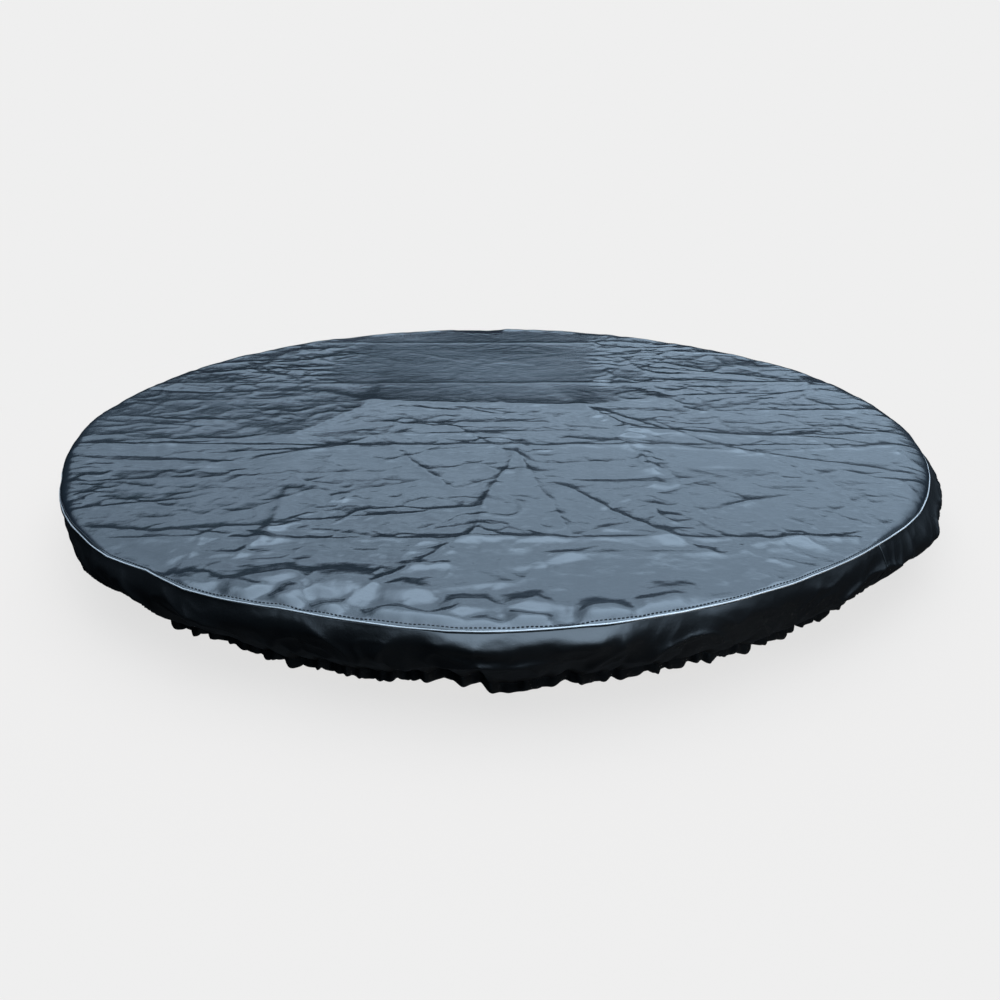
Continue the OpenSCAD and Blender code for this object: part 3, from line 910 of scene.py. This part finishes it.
def woven(name, dark, light):
    """Tape or webbing with a fine weave."""
    material, nodes, links, shader = new_material(name)
    place = add(nodes, "ShaderNodeTexCoord")
    waves = []
    for direction in ("X", "Y"):
        wave = add(nodes, "ShaderNodeTexWave", Scale=WEAVE_SCALE, bands_direction=direction)
        links.new(place.outputs["Object"], wave.inputs["Vector"])
        waves.append(wave)
    mix = add(nodes, "ShaderNodeMath", operation="MULTIPLY")
    links.new(waves[0].outputs["Fac"], mix.inputs[0])
    links.new(waves[1].outputs["Fac"], mix.inputs[1])
    colour = ramp(nodes, links, mix.outputs["Value"], [(0.1, dark), (0.9, light)])
    links.new(colour.outputs["Color"], shader.inputs["Base Color"])
    weave = add_bump(nodes, links, mix.outputs["Value"], 0.5, 0.0004)
    links.new(weave.outputs["Normal"], shader.inputs["Normal"])
    shader.inputs["Roughness"].default_value = 0.85
    return material


def moulded(name, dark, light, rough, metallic=0.0, scale=160.0):
    """Moulded plastic, rubber or painted metal with a fine texture and uneven gloss."""
    material, nodes, links, shader = new_material(name)
    fine = object_noise(nodes, links, scale, 4.0, 0.6)
    vary(nodes, links, shader, fine, [(0.35, dark), (0.65, light)], rough - 0.05, rough + 0.08)
    grain = add_bump(nodes, links, fine.outputs["Fac"], 0.08, 0.0006)
    links.new(grain.outputs["Normal"], shader.inputs["Normal"])
    shader.inputs["Metallic"].default_value = metallic
    return material


MATERIALS = {
    "cover_cloth": leatherette("cover_cloth", (0.006, 0.008, 0.010), (0.010, 0.0125, 0.015), 0.15),
    # The skirt is the same coated cloth as the top; its darker base colour is painted shade, keeping it near
    # black where it faces the dark ground.
    "skirt_cloth": leatherette("skirt_cloth", (0.0022, 0.0024, 0.0026), (0.0036, 0.0038, 0.0040), 0.30),
    # The piping's own tone is a little lighter than the cloth; its base colour is raised well above that as
    # a painted highlight along the cord.
    "piping": leatherette("piping", (0.08, 0.08, 0.08), (0.42, 0.41, 0.40), 0.40, grain=0.4),
    "foil_liner": foil("foil_liner"),
    "elastic": woven("elastic", (0.012, 0.012, 0.012), (0.03, 0.03, 0.03)),
    "zip_tape": woven("zip_tape", (0.010, 0.010, 0.011), (0.028, 0.028, 0.03)),
    "zip_teeth": moulded("zip_teeth", (0.012, 0.012, 0.013), (0.02, 0.02, 0.021), 0.35),
    "zip_metal": moulded("zip_metal", (0.03, 0.03, 0.032), (0.06, 0.06, 0.063), 0.3, metallic=0.9),
    "bladder_film": moulded("bladder_film", (0.46, 0.50, 0.53), (0.54, 0.58, 0.6), 0.3, scale=30.0),
    "valve_plastic": moulded("valve_plastic", (0.70, 0.70, 0.67), (0.78, 0.78, 0.75), 0.3),
    "valve_rubber": moulded("valve_rubber", (0.02, 0.02, 0.02), (0.035, 0.035, 0.035), 0.6),
    "thread": woven("thread", (0.004, 0.004, 0.005), (0.012, 0.012, 0.014)),
}


def dress(piece, slot_name, material=None):
    """Gives a piece a material: the one named, or else the one of the given slot."""
    piece.data.materials.clear()
    piece.data.materials.append(MATERIALS[material or slot_name])


def dress_cad_nodes():
    """Every carried-over node takes the material of its slot."""
    slot_of = {row["node"]: row["material_slot"] for row in frame["record"]["subparts"]}
    for name, node in frame["nodes"].items():
        node.data.materials.clear()
        node.data.materials.append(MATERIALS[slot_of[name]])


# ---------------------------------------------------------------- studio

BACKDROP = (0.863, 0.863, 0.863, 1)
# Sine of the height above the horizon, and the sky's brightness there
SKY = [(0.0, 0.02), (0.10, 0.03), (0.20, 0.04), (0.290, 0.09), (0.310, 1.65), (0.36, 1.85), (0.52, 1.35),
       (0.62, 2.9), (0.76, 5.8), (1.0, 5.8)]
SKY_TINT = (0.70, 0.93, 1.18)


def make_floor():
    """A plain pale floor that turns into an even backdrop away from the cover."""
    bpy.ops.mesh.primitive_circle_add(vertices=96, radius=40, fill_type="NGON", location=(0, 0, -0.0008))
    floor = bpy.context.object
    floor.name = "studio_floor"
    material, nodes, links, shader = new_material("studio_floor")
    shader.inputs["Base Color"].default_value = (0.072, 0.054, 0.043, 1)
    shader.inputs["Roughness"].default_value = 1.0
    shader.inputs["Specular IOR Level"].default_value = 0.0
    shader.inputs["Emission Color"].default_value = (1, 1, 1, 1)
    shader.inputs["Emission Strength"].default_value = 0.70
    glow = add(nodes, "ShaderNodeEmission", Color=BACKDROP)
    place = add(nodes, "ShaderNodeTexCoord")
    distance = add(nodes, "ShaderNodeVectorMath", operation="LENGTH")
    links.new(place.outputs["Object"], distance.inputs[0])
    far = span(nodes, links, distance.outputs["Value"], 0, 1, 1.0, 1.5)
    far.interpolation_type = "SMOOTHSTEP"
    mix = add(nodes, "ShaderNodeMixShader")
    links.new(far.outputs["Result"], mix.inputs["Fac"])
    links.new(shader.outputs["BSDF"], mix.inputs[1])
    links.new(glow.outputs["Emission"], mix.inputs[2])
    side = add(nodes, "ShaderNodeNewGeometry")
    clear = add(nodes, "ShaderNodeBsdfTransparent")
    seen = add(nodes, "ShaderNodeMixShader")
    links.new(side.outputs["Backfacing"], seen.inputs["Fac"])
    links.new(mix.outputs["Shader"], seen.inputs[1])
    links.new(clear.outputs["BSDF"], seen.inputs[2])
    links.new(seen.outputs["Shader"], nodes["Material Output"].inputs["Surface"])
    floor.data.materials.append(material)
    set_stage(floor)


def make_backdrop():
    """An even glow all round, behind the floor."""
    bpy.ops.mesh.primitive_uv_sphere_add(segments=64, ring_count=32, radius=39)
    wall = bpy.context.object
    wall.name = "studio_backdrop"
    material, nodes, links, _ = new_material("studio_backdrop")
    glow = add(nodes, "ShaderNodeEmission", Color=BACKDROP)
    links.new(glow.outputs["Emission"], nodes["Material Output"].inputs["Surface"])
    wall.data.materials.append(material)
    set_stage(wall)


def set_stage(piece):
    """Marks a piece of the studio, which neither lights the cover nor is mirrored in it."""
    piece.visible_glossy = False
    piece.visible_diffuse = False
    piece.visible_shadow = False


def make_sky():
    """Soft light from all round: dim near the horizon, bright and a little blue above it."""
    world = bpy.data.worlds.new("studio")
    bpy.context.scene.world = world
    world.use_nodes = True
    nodes, links = world.node_tree.nodes, world.node_tree.links
    place = add(nodes, "ShaderNodeTexCoord")
    split = add(nodes, "ShaderNodeSeparateXYZ")
    links.new(place.outputs["Generated"], split.inputs["Vector"])
    tilt = add(nodes, "ShaderNodeMath", operation="MULTIPLY_ADD")
    tilt.inputs[1].default_value = 0.10
    links.new(split.outputs["X"], tilt.inputs[0])
    links.new(split.outputs["Z"], tilt.inputs[2])
    upward = ramp(nodes, links, tilt.outputs["Value"], [(at, [level / SKY[-1][1]] * 3) for at, level in SKY])
    across = span(nodes, links, split.outputs["X"], 0.70, 1.0, -0.42, -0.08)
    sideways = add(nodes, "ShaderNodeMath", operation="ABSOLUTE")
    links.new(split.outputs["X"], sideways.inputs[0])
    ends = span(nodes, links, sideways.outputs["Value"], 1.0, 0.2, 0.48, 0.72)
    level = add(nodes, "ShaderNodeMath", operation="MULTIPLY")
    links.new(across.outputs["Result"], level.inputs[0])
    links.new(ends.outputs["Result"], level.inputs[1])
    both = add(nodes, "ShaderNodeMath", operation="MULTIPLY")
    links.new(upward.outputs["Color"], both.inputs[0])
    links.new(level.outputs["Value"], both.inputs[1])
    links.new(both.outputs["Value"], nodes["Background"].inputs["Strength"])
    nodes["Background"].inputs["Color"].default_value = (*[SKY[-1][1] * c for c in SKY_TINT], 1)


def area_light(name, location, target, size, power):
    """A large soft light that isn't mirrored in the cloth."""
    data = bpy.data.lights.new(name, "AREA")
    data.shape = "RECTANGLE"
    data.size, data.size_y = size
    data.energy = power
    light = bpy.data.objects.new(name, data)
    bpy.context.scene.collection.objects.link(light)
    light.location = location
    light.visible_glossy = False
    light.rotation_euler = (Vector(target) - Vector(location)).to_track_quat("-Z", "Y").to_euler()


# ---------------------------------------------------------------- assembly

def assemble():
    """Builds every piece, hides the carried-over nodes they replace, and dresses each."""
    dress_cad_nodes()
    top = build_top()
    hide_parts("top_panel")
    dress(top, "cover_cloth")
    piping = build_piping()
    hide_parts("rim_welt")
    dress(piping, "piping")
    # The skirt lengths and the hem take the darker copy of the top's cloth, whose extra darkness is painted
    # shade.
    for piece, node in zip(build_skirt(), SKIRT_NODES):
        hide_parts(node)
        dress(piece, "skirt_cloth")
    hem = build_hem()
    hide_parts("hem_casing")
    dress(hem, "skirt_cloth")
    elastic = build_elastic()
    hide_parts("hem_elastic")
    dress(elastic, "elastic")
    tapes = build_joint_tapes()
    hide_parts("skirt_seam_tapes")
    dress(tapes, "skirt_cloth", "thread")
    dress(build_topstitch(), "cover_cloth", "thread")
    liner = build_liner()
    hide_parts("liner_panel")
    dress(liner, "foil_liner")
    dress(build_valve_patch(), "foil_liner")
    dress(build_zip_stitches(), "zip_tape", "thread")
    for side, shift in ((-1, 0.0), (1, 0.5)):
        near, far = ZIP_R + side * TEETH_GAP, ZIP_R + side * TEETH_OUT
        node = "zip_teeth_outer" if side > 0 else "zip_teeth_inner"
        row = build_teeth(node + "_row", min(near, far), max(near, far), TEETH_LOW, TEETH_HIGH, shift)
        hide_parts(node)
        dress(row, "zip_teeth")
    bladder = build_bladder()
    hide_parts("bladder_top", "bladder_side", "bladder_bottom")
    dress(bladder, "bladder_film")
    for index, beam in enumerate(build_beams()):
        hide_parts(f"bladder_beam_{index + 1}")
        dress(beam, "bladder_film")


assemble()
make_floor()
make_backdrop()
make_sky()
area_light("overhead", (-0.6, 1.2, 2.6), (0, 0, TOP_Z), (2.4, 1.6), 20)
area_light("underneath", (1.5, -1.2, -1.5), (0, 0, 0), (1.2, 1.2), 90)
area_light("underneath_back", (-1.6, 1.1, -1.5), (0, 0, 0), (1.2, 1.2), 60)
bpy.context.scene.view_settings.view_transform = "Standard"
